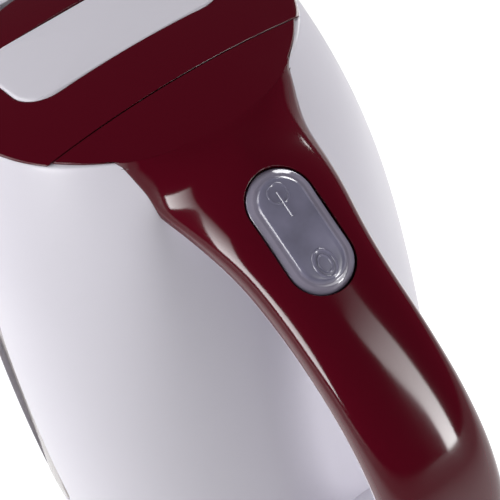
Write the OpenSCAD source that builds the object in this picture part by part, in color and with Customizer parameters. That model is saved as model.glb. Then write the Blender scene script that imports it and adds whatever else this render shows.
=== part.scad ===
// Cordless jug kettle with its power base.
// +Z is up, the handle points to +X and the spout to -X.
// The origin is on the jug's axis, at the underside of the power base.

/* [Jug] */
// Height of the jug from its foot to the rim
jug_h = 187; // [175:1:200]
// Outer radius of the jug at the rim
rim_r = 54; // [51:0.5:57]
// Outer radius of the jug at its widest
belly_r = 68; // [65:0.5:70]
// How far the widest ring lies below the rim
belly_drop = 95; // [85:1:105]
// Outer radius of the jug at its foot
foot_r = 62; // [60:0.5:63]
// Thickness of the jug's wall
wall = 2.5; // [2:0.1:3]
// How far the spout's tip reaches beyond the rim
spout_out = 20; // [14:1:24]
// How far the spout runs down the jug
spout_drop = 72; // [60:1:85]
// Width of a water gauge window
gauge_w = 14; // [10:1:18]
// Length of a water gauge window
gauge_len = 104; // [80:1:115]

/* [Lid and deck] */
// Height of the domed top above the rim, on the jug's axis
dome_rise = 5.4; // [4.5:0.1:7]
// Radius of the dome
dome_r = 307; // [280:1:340]
// Distance from the axis to the lid's straight rear seam
seam_x = 30; // [27:0.5:33]
// Gap between the lid and its neighbours
lid_gap = 0.35; // [0.2:0.05:0.6]
// How far the lid's hinge pin lies behind the seam
pin_back = 6; // [5.6:0.1:7]
// How far the hinge pin lies below the rim
pin_drop = 3; // [2.8:0.1:3.4]
// Radius of the hinge pin
pin_r = 1.5; // [1.2:0.1:1.8]
// Length of the white inlay, across the lid
inlay_len = 73; // [60:1:78]
// Width of the white inlay
inlay_w = 36.5; // [30:0.5:38]
// Height of the inlay above the lid
inlay_up = 0.7; // [0.4:0.1:1.2]

/* [Handle] */
// Thickness of the handle's shells
shell_t = 2.4; // [2:0.1:2.8]
// Depth of the white inner half of the handle
liner_depth = 10; // [8:0.5:12]
// How much narrower the white inner half is, on each side
liner_step = 0.7; // [0.4:0.1:1.5]

/* [Rocker] */
// Length of the rocker
rocker_len = 39.8; // [37:0.2:41]
// Width of the rocker
rocker_w = 20.6; // [18:0.2:21]
// Gap round the rocker
rocker_gap = 0.45; // [0.4:0.05:0.6]
// How far the rocker's pivot lies below the handle's crown
pivot_drop = 6.3; // [6:0.1:6.8]
// Radius of the rocker's pivot
pivot_r = 1.2; // [1:0.1:1.5]

/* [Power base] */
// Height at which the jug stands
seat_z = 18; // [17:0.5:22]
// Outer radius of the power base
base_r = 71.5; // [70:0.5:78]
// Thickness of the base's shell
base_t = 2.5; // [2:0.1:3]
// Radius of the round connector on the base
connector_r = 12.5; // [11.5:0.1:13]
// Radius of the cord's outlet bore
cord_r = 3.4; // [3:0.1:4]

/* [Hidden] */
$fn = 96;

burgundy = [0.34, 0.03, 0.10];
white = [0.90, 0.89, 0.92];
lens_grey = [0.42, 0.40, 0.48];
black = [0.08, 0.08, 0.09];
steel = [0.75, 0.76, 0.78];
brass = [0.80, 0.62, 0.30];

// Gap left between pieces of different bodies
clear = 0.3;
// Running clearance of a pin in its bore
run = 0.05;
eps = 0.01;

rim_z = seat_z + jug_h;
jug_lift = 0.2;
pin_x = seam_x + pin_back;
pin_z = rim_z - pin_drop;

// ---------- the jug ----------

// Outer radius of the jug at a depth below the rim
function jug_r(t) = t < belly_drop
  ? belly_r - (belly_r - rim_r) * pow(1 - t / belly_drop, 2.3)
  : belly_r - (belly_r - foot_r) * pow((t - belly_drop) / (jug_h - belly_drop), 2);

ring_count = 22;
jug_rings = [for (i = [0:ring_count]) i * (jug_h - jug_lift) / ring_count];

// The jug as a full solid of revolution, drawn in by an inset
module jug_solid(inset = 0, top = 0) {
  rotate_extrude()
    polygon([[0, rim_z + top], [jug_r(0) - inset, rim_z + top],
      each [for (t = jug_rings) [jug_r(t) - inset, rim_z - t]],
      [0, rim_z - jug_rings[ring_count]]]);
}

lip_h = 6;
lip_r = rim_r - 2.8;
plate_z = 48.5;
ledge_z = plate_z + 1.5;
ledge_t = 3;
plate_r = 57;
ledge_r = 52.5;
bridge_ledge_z = rim_z - 22;
bridge_ledge_t = 3;

// The room inside the jug: the water space, the ledge's hole and the chamber below
module jug_room() {
  difference() {
    jug_solid(wall, 1);
    translate([0, 0, rim_z - lip_h]) difference() {
      cylinder(r = rim_r + 2, h = lip_h + 2);
      translate([0, 0, -1]) cylinder(r = lip_r, h = lip_h + 4);
    }
    translate([0, 0, ledge_z]) difference() {
      cylinder(r = belly_r + 1, h = ledge_t);
      translate([0, 0, -1]) cylinder(r = ledge_r, h = ledge_t + 2);
    }
    bridge_ledge();
  }
  translate([0, 0, seat_z]) cylinder(r = jug_r(jug_h) - wall, h = 6);
}

// Ledge inside the rear of the mouth, which carries the hinge bridge
module bridge_ledge() {
  intersection() {
    translate([0, 0, bridge_ledge_z]) difference() {
      cylinder(r = rim_r + 8, h = bridge_ledge_t);
      translate([0, 0, -1]) cylinder(r = lip_r - 3.5, h = bridge_ledge_t + 2);
    }
    translate([bridge_front + 1, -60, bridge_ledge_z - 1]) cube([60, 120, bridge_ledge_t + 2]);
  }
}

tip_r = 9;
root_r = 3.2;
spout_root = [-44, 31];

// The spout's outer form, drawn in by an inset and drawn up by a rise
module spout_solid(inset = 0, up = 0) {
  hull() {
    translate([tip_r - rim_r - spout_out, 0, rim_z - 3])
      cylinder(r = tip_r - inset, h = 3 + up, $fn = 32);
    for (side = [-1, 1])
      translate([spout_root[0], side * spout_root[1], rim_z - 3])
        cylinder(r = root_r + 0.3 - inset / 2, h = 3 + up, $fn = 16);
    translate([8 - jug_r(spout_drop), 0, rim_z - spout_drop])
      sphere(r = 7.5 - inset, $fn = 24);
  }
}

gauge_x = -gauge_w / 2;
gauge_top = 44;

// Oblong bar along Y, which cuts a gauge's window out of the wall
module gauge_bar(side, shrink = 0) {
  r = gauge_w / 2;
  intersection() {
    union() {
      for (z = [rim_z - gauge_top - r, rim_z - gauge_top - gauge_len + r])
        translate([gauge_x, 0, z]) rotate([-90 * side, 0, 0]) cylinder(r = r - shrink, h = 90);
      translate([gauge_x - r + shrink, side > 0 ? 0 : -90, rim_z - gauge_top - gauge_len + r])
        cube([2 * (r - shrink), 90, gauge_len - 2 * r]);
    }
    translate([-40, side > 0 ? 30 : -120, 0]) cube([80, 90, 400]);
  }
}

lead_hole_drop = 165;
notch_w = 25;

module jug_body() {
  color(white) difference() {
    union() {
      jug_solid();
      spout_solid();
    }
    jug_room();
    spout_solid(2.4, 2);
    for (side = [-1, 1]) gauge_bar(side);
    // the deck crosses the wall here
    translate([38, -notch_w, rim_z - 3.2]) cube([30, 2 * notch_w, 10]);
    // the leads come in here
    translate([40, 0, rim_z - lead_hole_drop]) rotate([0, 90, 0]) cylinder(r = 3, h = 40);
  }
  color(white) for (a = clamp_angles) rotate(a) clamp_boss();
}

clamp_angles = [60, 180, 300];
boss_r = 2.4;
boss_at = plate_r + 2.5;
clamp_z = 42;
clamp_t = 2.5;

module clamp_boss() {
  translate([boss_at, 0, clamp_z + clamp_t]) difference() {
    cylinder(r = boss_r, h = ledge_z - clamp_z - clamp_t + 1);
    translate([0, 0, -1]) cylinder(r = 1.2, h = 5);
  }
}

module gauge(side) {
  color([0.50, 0.45, 0.48, 0.8]) intersection() {
    difference() {
      jug_solid(-0.2);
      jug_solid(wall - 0.3);
    }
    gauge_bar(side, 0.08);
  }
}
module gauge_left() gauge(-1);
module gauge_right() gauge(1);

// ---------- the heater and what is under it ----------

module heating_plate()
  color(steel) translate([0, 0, plate_z - 1.5]) cylinder(r = plate_r, h = 1.5);

module plate_seal()
  color(black) translate([0, 0, plate_z]) difference() {
    cylinder(r = plate_r, h = ledge_z - plate_z);
    translate([0, 0, -1]) cylinder(r = ledge_r + 0.5, h = 4);
  }

spreader_z = plate_z - 3.5;
spreader_r = plate_r - 7;
module heat_spreader()
  color([0.8, 0.8, 0.82]) translate([0, 0, spreader_z]) cylinder(r = spreader_r, h = 2);

element_ring = spreader_r - 9;
element_r = 3.2;
module heating_element()
  color([0.7, 0.7, 0.72]) rotate(25) rotate_extrude(angle = 310)
    translate([element_ring, spreader_z - element_r]) union() {
      circle(r = element_r, $fn = 32);
      translate([-element_r, 0]) square([2 * element_r, element_r]);
    }

module plate_clamp()
  color(white) difference() {
    rotate_extrude()
      polygon([[plate_r - 3, clamp_z], [boss_at + 2, clamp_z], [boss_at + 2, clamp_z + clamp_t],
        [plate_r, clamp_z + clamp_t], [plate_r, plate_z - 1.5], [plate_r - 3, plate_z - 1.5]]);
    for (a = clamp_angles) rotate(a) translate([boss_at, 0, clamp_z - 1]) cylinder(r = 1.5, h = 6);
    translate([40, -4, clamp_z - 1]) cube([40, 8, 3]);
  }

// A pan-head screw along +Z, its head's underside at z = 0
module screw(r, head_r, length, head_h = 1.6) {
  translate([0, 0, -head_h]) difference() {
    cylinder(r = head_r, h = head_h);
    for (a = [0, 90]) rotate(a) translate([-head_r * 0.6, -0.35, -eps])
      cube([head_r * 1.2, 0.7, 0.8]);
  }
  translate([0, 0, -eps]) cylinder(r = r, h = length + eps);
}

module clamp_screws()
  color(steel) for (a = clamp_angles)
    rotate(a) translate([boss_at, 0, clamp_z]) screw(1.2, 2.4, clamp_t + 3.5);

socket_r = 20;
socket_z = seat_z + 2.4;
socket_top = 33;
control_r = 32;
module control_unit()
  color(black) difference() {
    rotate_extrude()
      polygon([[0, socket_top + clear], [socket_r + clear, socket_top + clear],
        [socket_r + clear, cover_top], [socket_r + 6, cover_top], [socket_r + 6, socket_top + 1],
        [control_r, socket_top + 1], [control_r, spreader_z], [0, spreader_z]]);
    translate([control_r - 4, -3, rim_z - lead_hole_drop - 2.5]) cube([10, 6, 5]);
  }

cover_top = seat_z + 3.4;
cover_t = 2.2;
cover_screw_at = 53;
module bottom_cover()
  color(white) difference() {
    union() {
      translate([0, 0, cover_top - cover_t]) cylinder(r = jug_r(jug_h) - wall - 0.4, h = cover_t);
      for (a = clamp_angles) rotate(a) translate([cover_screw_at, 0, cover_top - eps])
        cylinder(r = 3.6, h = clamp_z - cover_top + eps);
    }
    translate([0, 0, cover_top - cover_t - 1]) cylinder(r = socket_r + 0.6, h = 5);
    for (a = clamp_angles) rotate(a) translate([cover_screw_at, 0, cover_top - cover_t - 1]) {
      cylinder(r = 1.5, h = 13);
      cylinder(r = 3, h = 2.4);
    }
  }

module bottom_screws()
  color(steel) for (a = clamp_angles)
    rotate(a) translate([cover_screw_at, 0, cover_top - cover_t + 1.4]) screw(1.5, 2.8, 9, 1.3);

module jug_socket()
  color(black) rotate_extrude()
    polygon([[connector_r + clear, socket_z], [socket_r, socket_z], [socket_r, socket_top],
      [0, socket_top], [0, connector_top + 1], [connector_r + clear, connector_top + 1]]);

connector_top = 24;
groove = [8, 10];
blade = [8.4, 9];
module socket_contacts()
  color(brass) {
    translate([0, 0, seat_z - 2]) difference() {
      cylinder(r = blade[1], h = connector_top + 3 - seat_z);
      translate([0, 0, -1]) cylinder(r = blade[0], h = connector_top + 5 - seat_z);
    }
    translate([0, 0, seat_z - 2]) difference() {
      cylinder(r = 2.35, h = connector_top + 3 - seat_z);
      translate([0, 0, -1]) cylinder(r = 1.85, h = connector_top + 5 - seat_z);
    }
  }

// ---------- the power base ----------

plate_top = 6;
plate_under = 4;
deck_under = seat_z - 4;
ring_in = foot_r + 1.6;
ring_w = base_r - ring_in;
module base_shell() {
  color(white) difference() {
    rotate_extrude()
      polygon([[base_r - 1.5, 3], [base_r, 5], [base_r, seat_z - 7],
        [base_r - 0.19 * ring_w, seat_z - 2.5], [base_r - 0.5 * ring_w, seat_z + 0.3],
        [base_r - 0.82 * ring_w, seat_z + 1.4], [ring_in, seat_z + 1.4], [foot_r + 1, seat_z], [30, seat_z], [28, seat_z - 1.5], [connector_r + 3, seat_z - 1.5],
        [connector_r + 3, deck_under], [29, deck_under], [31, seat_z - base_t],
        [base_r - 6, seat_z - base_t], [base_r - 3.8, seat_z - 3.8],
        [base_r - base_t, seat_z - 7], [base_r - base_t, 5], [base_r - 1.5 - base_t, 3]]);
    translate([base_r - 10, 0, outlet_z]) rotate([0, 90, 0]) cylinder(r = outlet_r, h = 20);
  }
  color(white) for (a = [0, 120, 240]) rotate(a + 30) translate([base_screw_at, 0, plate_top])
    difference() {
      cylinder(r = 3.4, h = deck_under - plate_top + 2);
      translate([0, 0, -1]) cylinder(r = 1.5, h = 7.1);
    }
}

outlet_z = 10.6;
outlet_r = 4.6;
hub_r = 18;
feet_at = base_r - 13.5;
foot_pad_r = 6;
base_screw_at = 42;
module base_plate()
  color(white) difference() {
    union() {
      translate([0, 0, plate_under]) cylinder(r = base_r - base_t - 1.2, h = plate_top - plate_under);
      cylinder(r = hub_r, h = plate_under + eps);
      cylinder(r = hub_r + 7, h = 1.5);
    }
    for (a = [45:90:315]) rotate(a) translate([feet_at, 0, plate_under - 1])
      cylinder(r = foot_pad_r, h = 1.6);
    for (a = [0, 120, 240]) rotate(a + 30) translate([base_screw_at, 0, plate_under - 1])
      cylinder(r = 1.6, h = 5);
  }

module base_feet()
  color(black) for (a = [45:90:315])
    rotate(a) translate([feet_at, 0, 0]) cylinder(r = foot_pad_r - 0.1, h = plate_under + 0.6);

module base_screws()
  color(steel) for (a = [0, 120, 240])
    rotate(a + 30) translate([base_screw_at, 0, plate_under]) screw(1.5, 2.8, 8);

flange_r = connector_r + 9.5;
module base_connector()
  color(black) difference() {
    rotate_extrude()
      polygon([[0, plate_top], [flange_r, plate_top], [flange_r, plate_top + 2],
        [connector_r, plate_top + 2], [connector_r, deck_under - 2], [flange_r, deck_under - 2],
        [flange_r, deck_under],
        [connector_r, deck_under], [connector_r, connector_top - 1],
        [connector_r - 1, connector_top], [groove[1], connector_top], [groove[1], 13],
        [groove[0], 13], [groove[0], connector_top], [2.7, connector_top], [2.7, 11], [0, 11]]);
    for (a = [0, 120, 240]) rotate(a + 30) translate([18.5, 0, plate_top - 1])
      cylinder(r = 1.4, h = 4);
  }

module base_contacts()
  color(brass) {
    translate([0, 0, 11]) cylinder(r = 1.5, h = 12);
    translate([0, 0, 13]) difference() {
      cylinder(r = groove[1], h = 9);
      translate([0, 0, -1]) cylinder(r = groove[1] - 0.6, h = 11);
    }
  }

module cord_outlet()
  color(black) difference() {
    translate([base_r - 6, 0, outlet_z]) rotate([0, 90, 0]) union() {
      cylinder(r = outlet_r - 0.1, h = 8.6);
      translate([0, 0, 7.4]) cylinder(r = outlet_r + 1, h = 1.2);
    }
    translate([base_r - 7, 0, outlet_z]) rotate([0, 90, 0]) cylinder(r = cord_r, h = 12);
  }

// ---------- the domed top: lid, deck and hinge ----------

// Height of the dome above the rim at a distance from the axis
function dome_up(r) = dome_rise - dome_r + sqrt(dome_r * dome_r - r * r);

// The dome as a flat-bottomed cap
module dome_cap(r, up = 0, under = 0.15) {
  steps = 9;
  rotate_extrude()
    polygon([[0, rim_z + under], [r, rim_z + under],
      for (i = [steps:-1:0]) [r * i / steps, rim_z + dome_up(r * i / steps) + up]]);
}

// Barrel round the hinge pin, whose surface meets the dome along the straight seam.
// The lid's rear face swings on it, and the deck's front lip follows it.
function seam_rise(y) = dome_up(sqrt(seam_x * seam_x + y * y)) + pin_drop;
function barrel_r(y) = sqrt(pin_back * pin_back + pow(seam_rise(y), 2));
module seam_barrel(grow) {
  half = 50;
  translate([pin_x, 0, pin_z]) rotate([-90, 0, 0]) rotate_extrude()
    polygon([[0, -half], for (y = [-half:10:half]) [barrel_r(y) + grow, y], [0, half]]);
}

module along_pin(r, half) {
  translate([pin_x, half, pin_z]) rotate([90, 0, 0]) cylinder(r = r, h = 2 * half);
}

hub_half = 9;
hub_out_r = 2.6;
ear_t = 3.6;
ear_r = 2.6;
ear_y = hub_half + clear;
bridge_front = 18;

inlay_x = -11.5;
inlay_r = 11;
module rounded_plate(w, l, r, h) {
  linear_extrude(h) union() {
    square([w - 2 * r, l], center = true);
    square([w, l - 2 * r], center = true);
    for (i = [-1, 1], j = [-1, 1]) translate([i * (w / 2 - r), j * (l / 2 - r)]) circle(r = r);
  }
}

inlay_sink = 1;
module lid_cover()
  color(burgundy) difference() {
    dome_cap(rim_r - 0.15);
    dome_cap(44, -2.2, 0.1);
    seam_barrel(lid_gap / 2);
    translate([seam_x - lid_gap / 2, -60, rim_z - 20]) cube([60, 120, 40]);
    intersection() {
      translate([inlay_x, 0, rim_z - 1]) rounded_plate(inlay_w, inlay_len, inlay_r, 20);
      dome_cap(50, 2, -inlay_sink);
      difference() {
        translate([0, 0, rim_z - 1]) cylinder(r = 50, h = 20);
        dome_cap(50, -inlay_sink, -5);
      }
    }
  }

module lid_inlay()
  color(white) intersection() {
    translate([inlay_x, 0, rim_z - 1])
      rounded_plate(inlay_w - 0.1, inlay_len - 0.1, inlay_r, 20);
    difference() {
      dome_cap(50, inlay_up, -5);
      dome_cap(50, -inlay_sink, -6);
    }
  }

pan_r = lip_r - 0.6;
skirt_out = lip_r - 4.2;
skirt_in = skirt_out - 3;
pan_rear = seam_x - 5;
skirt_rear = 14;
neck_r = [9.9, 12.4];

// Goose-neck that carries the lid: it leaves the pin downwards and comes up ahead of the deck
module goose_neck() {
  translate([pin_x, hub_half, pin_z]) rotate([90, 0, 0]) linear_extrude(2 * hub_half) union() {
    circle(r = hub_out_r);
    intersection() {
      difference() {
        circle(r = neck_r[1]);
        circle(r = neck_r[0]);
      }
      polygon([[0, 0], 20 * [cos(170), sin(170)], 20 * [cos(210), sin(210)],
        20 * [cos(250), sin(250)]]);
    }
    rotate(248) translate([0, -1.3]) square([neck_r[1] - 0.6, 2.6]);
  }
}

module lid_liner()
  color(white) difference() {
    union() {
      intersection() {
        rotate_extrude()
          polygon([[0, rim_z - 1.85], [skirt_in, rim_z - 1.85], [skirt_in, rim_z - 10],
            [skirt_out, rim_z - 10], [skirt_out, rim_z - 1.85], [pan_r, rim_z - 1.85],
            [pan_r, rim_z + 0.15], [0, rim_z + 0.15]]);
        union() {
          translate([-60, -60, rim_z - 20]) cube([60 + skirt_rear, 120, 40]);
          translate([0, -60, rim_z - 1.85]) cube([pan_rear, 120, 4]);
        }
      }
      translate([skirt_rear - 2, -42, rim_z - 10]) cube([2, 84, 9]);
      intersection() {
        goose_neck();
        translate([0, -50, rim_z - 40]) cube([80, 100, 40.15]);
      }
    }
    along_pin(pin_r + run, hub_half + 1);
  }

module lid_seal()
  color([0.85, 0.85, 0.87]) intersection() {
    translate([0, 0, rim_z - 5.5]) difference() {
      cylinder(r = lip_r - clear, h = 2.4);
      translate([0, 0, -1]) cylinder(r = skirt_out, h = 5);
    }
    translate([-60, -60, rim_z - 20]) cube([60 + skirt_rear - 3, 120, 40]);
  }

module lid_hinge_pin()
  color(steel) along_pin(pin_r, ear_y + ear_t);

bridge_z = bridge_ledge_z + bridge_ledge_t;
bridge_t = 2.2;
bridge_screw_y = 42;
bridge_screw_x = bridge_front + 6;
module hinge_bridge()
  color(white) difference() {
    union() {
      intersection() {
        translate([0, 0, bridge_z]) cylinder(r = lip_r - 0.6, h = bridge_t);
        translate([bridge_front, -60, bridge_z - 1]) cube([60, 120, 20]);
      }
      for (side = [-1, 1]) {
        translate([pin_x - ear_r, side > 0 ? ear_y : -ear_y - ear_t, bridge_z])
          cube([2 * ear_r, ear_t, pin_z - bridge_z]);
        translate([0, side * (ear_y + ear_t / 2), 0]) along_pin(ear_r, ear_t / 2);
      }
    }
    along_pin(pin_r, ear_y + ear_t + 1);
    // steam passes through these slots
    for (y = [-36:6:36]) if (abs(y) > 14)
      translate([bridge_front + 12, y - 1.2, bridge_z - 1]) cube([7, 2.4, bridge_t + 2]);
    for (side = [-1, 1]) translate([bridge_screw_x, side * bridge_screw_y, bridge_z - 1])
      cylinder(r = 1.5, h = 6);
  }

module bridge_screws()
  color(steel) for (side = [-1, 1])
    translate([bridge_screw_x, side * bridge_screw_y, bridge_z + bridge_t])
      rotate([180, 0, 0]) screw(1.5, 2.6, bridge_t);

// ---------- the handle ----------

// Stations down the handle: crown x and drop, edge x and drop, half width, squareness
STATIONS = [
  [58.5, 0.8, 44.7, 1.5, 30, 1.5], [62, 2.2, 47.8, 8.5, 28.6, 1.45],
  [67.5, 5.2, 51.2, 17.4, 26.7, 1.6], [74, 10, 60.5, 21.2, 24.6, 1.9],
  [81.5, 16.8, 72.7, 26.3, 22.4, 2.3], [89.5, 24.3, 81.5, 32.8, 20.4, 2.5],
  [97.2, 31.6, 89.4, 39.9, 19.3, 2.6], [105.3, 39, 97.5, 46.9, 18.8, 2.6],
  [113.4, 46.8, 105.3, 54.2, 18.7, 2.6], [121, 55.5, 112, 61.8, 18.7, 2.6],
  [127.6, 64.8, 117.8, 69.8, 18.8, 2.6], [132.8, 74.6, 122.2, 78.5, 18.9, 2.6],
  [136.6, 85.2, 125.4, 87.6, 19, 2.6], [138.6, 97, 127.2, 97.8, 19, 2.6],
  [138.8, 110, 127.4, 109, 19, 2.6], [136.6, 123.8, 125.6, 120.5, 19, 2.6],
  [131.4, 137, 121.4, 130.8, 19, 2.6], [123, 148.6, 115, 140.2, 19.1, 2.6],
  [111.4, 157.8, 105.6, 147.8, 19.4, 2.6], [97, 164.2, 93.2, 153.5, 19.9, 2.6],
  [81, 168.2, 78.8, 157.2, 20.6, 2.6], [62, 170, 60.7, 159.1, 21.5, 2.6]];
last = len(STATIONS) - 1;

function crown(i) = [STATIONS[i][0], -STATIONS[i][1]];
function edge(i) = [STATIONS[i][2], -STATIONS[i][3]];
function half_w(i) = STATIONS[i][4];
function unit(v) = v / norm(v);
// Outward direction of the crown line at a station
function out_dir(i) =
  let (d = crown(min(i + 1, last)) - crown(max(i - 1, 0))) unit([-d[1], d[0]]);

across = 16;
// Shares of the half width and of the depth at step j of a section
function side_share(j, n) =
  let (c = cos(180 * j / across)) sign(c) * pow(abs(c), 2 / n);
function crown_share(j, n) = pow(max(0, sin(180 * j / across)), 2 / n);

// One section: from its edge line to its top line, both in the middle plane
function section(foot, top, half, n) =
  [for (j = [0:across]) let (p = foot + (top - foot) * crown_share(j, n))
    [p[0], half * side_share(j, n), rim_z + p[1]]];

function cover_out(i) = section(edge(i), crown(i), half_w(i), STATIONS[i][5]);
function cover_in(i) = section(edge(i) - [0, i < 2 ? shell_t * (1 - i / 2) : 0],
  crown(i) - shell_t * out_dir(i), half_w(i) - shell_t, STATIONS[i][5]);

// The deck: from the lid's seam to the crease where the handle begins
deck_steps = 5;
seam_y = sqrt(rim_r * rim_r - seam_x * seam_x);
function deck_ring(k, drop) =
  let (v = k / deck_steps, n = STATIONS[0][5],
    corner = [STATIONS[0][2], STATIONS[0][4]],
    a0 = atan2(seam_y, seam_x), a1 = atan2(corner[1], corner[0]), a = a0 + (a1 - a0) * v,
    miss = rim_r * [cos(a), sin(a)] - ([seam_x, seam_y] * (1 - v) + corner * v))
  [for (j = [0:across])
    let (s = side_share(j, n), c = crown_share(j, n), w = pow(abs(s), 4),
      crease = [corner[0] + (STATIONS[0][0] - corner[0]) * c, corner[1] * s],
      p = [seam_x - 3, seam_y * s] * (1 - v) + crease * v + w * [miss[0], sign(s) * miss[1]])
    [p[0], p[1], rim_z + dome_up(norm(p)) - drop]];

// Closes the space between two stacks of rings into one solid
module shell_between(outer, inner) {
  m = len(outer);
  n = len(outer[0]);
  half = m * n;
  pts = [for (r = outer) each r, for (r = inner) each r];
  polyhedron(pts, [
    for (i = [0:m - 2], j = [0:n - 2]) let (a = i * n + j) each [
      [a, a + n + 1, a + 1], [a, a + n, a + n + 1],
      [half + a, half + a + 1, half + a + n + 1], [half + a, half + a + n + 1, half + a + n]],
    for (i = [0:m - 2]) let (a = i * n, b = a + n - 1) each [
      [a, half + a + n, a + n], [a, half + a, half + a + n],
      [b, b + n, half + b + n], [b, half + b + n, half + b]],
    for (j = [0:n - 2]) let (a = j, b = (m - 1) * n + j) each [
      [a, a + 1, half + a + 1], [a, half + a + 1, half + a],
      [b, half + b + 1, b + 1], [b, half + b, half + b + 1]]
  ]);
}

// Frame of a station: local +Z points out of the crown, from the edge line
module at_station(i) {
  d = out_dir(i);
  translate([edge(i)[0], 0, rim_z + edge(i)[1]]) rotate([0, atan2(d[0], d[1]), 0]) children();
}

// Frame of the rocker: local +Z points out of the crown, local +X down the handle
rocker_x = 86.5;
rocker_drop = 21.5;
rocker_tilt = 43;
module at_rocker()
  translate([rocker_x, 0, rim_z - rocker_drop]) rotate([0, rocker_tilt, 0]) children();

module oblong(len, w, h) {
  for (side = [-1, 1]) translate([side * (len - w) / 2, 0, 0]) cylinder(r = w / 2, h = h);
  translate([-(len - w) / 2, -w / 2, 0]) cube([len - w, w, h]);
}

boss_stations = [10, 17];
module handle_cover()
  color(burgundy) difference() {
    union() {
      shell_between([for (k = [0:deck_steps - 1]) deck_ring(k, 0), for (i = [0:last]) cover_out(i)],
        [for (k = [0:deck_steps - 1]) deck_ring(k, shell_t), for (i = [0:last]) cover_in(i)]);
      for (i = boss_stations) at_station(i)
        translate([0, 0, shell_t + clear - liner_depth])
          cylinder(r = 3.4, h = norm(crown(i) - edge(i)) + liner_depth - 2 * shell_t);
    }
    difference() {
      jug_solid(0, 0.15);
      translate([38, -notch_w, rim_z - 3.2]) cube([30, 2 * notch_w, 10]);
    }
    difference() {
      translate([0, -60, rim_z - 20]) cube([pin_x, 120, 40]);
      seam_barrel(-lid_gap / 2);
    }
    at_rocker() translate([0, 0, -12])
      oblong(rocker_len + 2 * rocker_gap, rocker_w + 2 * rocker_gap, 20);
    for (i = boss_stations) at_station(i) translate([0, 0, -liner_depth]) cylinder(r = 1.4, h = 12);
  }

function liner_edge_w(i) = half_w(i) - liner_step;
function liner_low(i) = edge(i) + liner_depth * unit(edge(i) - crown(i));
first_liner = 2;
module handle_liner()
  color(white) difference() {
    shell_between(
      [for (i = [first_liner:last]) section(edge(i),
        edge(i) + (liner_depth - shell_t) * unit(edge(i) - crown(i)),
        liner_edge_w(i) - shell_t, 2.6)],
      [for (i = [first_liner:last]) section(edge(i), liner_low(i), liner_edge_w(i), 2.8)]);
    jug_solid();
    for (i = boss_stations) at_station(i) {
      translate([0, 0, -liner_depth - 2]) cylinder(r = 1.5, h = 12);
      translate([0, 0, -liner_depth - 2]) cylinder(r = 3, h = 3.4);
    }
  }

module handle_screws()
  color(steel) for (i = boss_stations) at_station(i)
    translate([0, 0, 1.4 - liner_depth]) screw(1.4, 2.8, 9, 1.4);

// ---------- the rocker and what it works ----------

lens_under = 2.6;
lens_side = 0.4;
lens_up = 0.7;
bevel = 2.4;
module rocker_lens()
  color(lens_grey) at_rocker() union() {
    translate([0, 0, -lens_under]) hull() for (side = [-1, 1])
      translate([side * (rocker_len - rocker_w) / 2, 0, 0]) {
        cylinder(r = rocker_w / 2, h = lens_side, $fn = 32);
        cylinder(r = rocker_w / 2 - bevel, h = lens_under + lens_up, $fn = 32);
      }
    translate([-11, -0.6, lens_up - eps]) translate([-3, 0, 0]) cube([6, 1.2, 0.3]);
    translate([11, 0, lens_up - eps]) difference() {
      cylinder(r = 3.2, h = 0.3);
      translate([0, 0, -1]) cylinder(r = 2.2, h = 2);
    }
  }

carrier_half = 15.2;
carrier_w = 15;
carrier_under = 8.4;
frame_wall = [9.3, 11.1];
module rocker_carrier()
  color(black) at_rocker() union() {
    difference() {
      translate([-carrier_half, -carrier_w / 2, -carrier_under])
        cube([2 * carrier_half, carrier_w, carrier_under - lens_under]);
      for (side = [-1, 1]) translate([side * 8.6 - 5, -carrier_w / 2 + 1.6, -carrier_under + 1.5])
        cube([10, carrier_w - 3.2, carrier_under]);
    }
    translate([0, frame_wall[1], -pivot_drop]) rotate([90, 0, 0])
      cylinder(r = pivot_r, h = 2 * frame_wall[1]);
  }

floor_z = -13.5;
lever_x = -15;
lever_z = -11.8;
module switch_frame()
  color(black) at_rocker() difference() {
    union() {
      translate([-20.5, -frame_wall[1], floor_z - 1.5]) cube([37, 2 * frame_wall[1], 1.5]);
      for (side = [-1, 1]) translate([-5, side > 0 ? frame_wall[0] : -frame_wall[1], -18.2])
        cube([10, frame_wall[1] - frame_wall[0], 18.2 - pivot_drop + pivot_r + 1.1]);
      translate([-20.5, -9, floor_z - eps]) cube([1.5, 18, 8.2]);
      for (side = [-1, 1]) translate([lever_x - 1.6, side > 0 ? 3.3 : -4.9, floor_z - eps])
        cube([3.2, 1.6, lever_z - floor_z + 1.5]);
    }
    translate([0, 20, -pivot_drop]) rotate([90, 0, 0]) cylinder(r = pivot_r + run, h = 40);
    translate([lever_x, 10, lever_z]) rotate([90, 0, 0]) cylinder(r = 0.7 + run, h = 20);
    translate([-25, 0, floor_z + 5.5]) rotate([0, 90, 0]) cylinder(r = 2.5, h = 8);
  }

module trip_lever()
  color(white) at_rocker() union() {
    translate([lever_x, 4.9, lever_z]) rotate([90, 0, 0]) cylinder(r = 0.7, h = 9.8);
    translate([lever_x, 3, lever_z]) rotate([90, 0, 0]) cylinder(r = 1.3, h = 6);
    translate([lever_x, -2.5, lever_z - 0.6]) cube([6, 5, 1.2]);
    translate([lever_x + 4.6, -2.5, lever_z - 0.6])
      cube([1.4, 5, -carrier_under - clear - lever_z + 0.6]);
    // counterweight that keeps the lever level on its pin
    translate([lever_x - 3.5, -2.5, lever_z - 1.5]) cube([3.5, 5, 2.7]);
    translate([lever_x - 3.5, -9, lever_z - 1.5]) cube([1.3, 18, 2.7]);
  }

module switch_block()
  color([0.2, 0.2, 0.22]) at_rocker() translate([3, -6, floor_z]) cube([11, 12, 3]);

module steam_disc()
  color([0.72, 0.55, 0.42]) at_rocker() translate([-21.1, 0, floor_z + 5.5]) rotate([0, 90, 0])
    cylinder(r = 5, h = 0.6);

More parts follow.
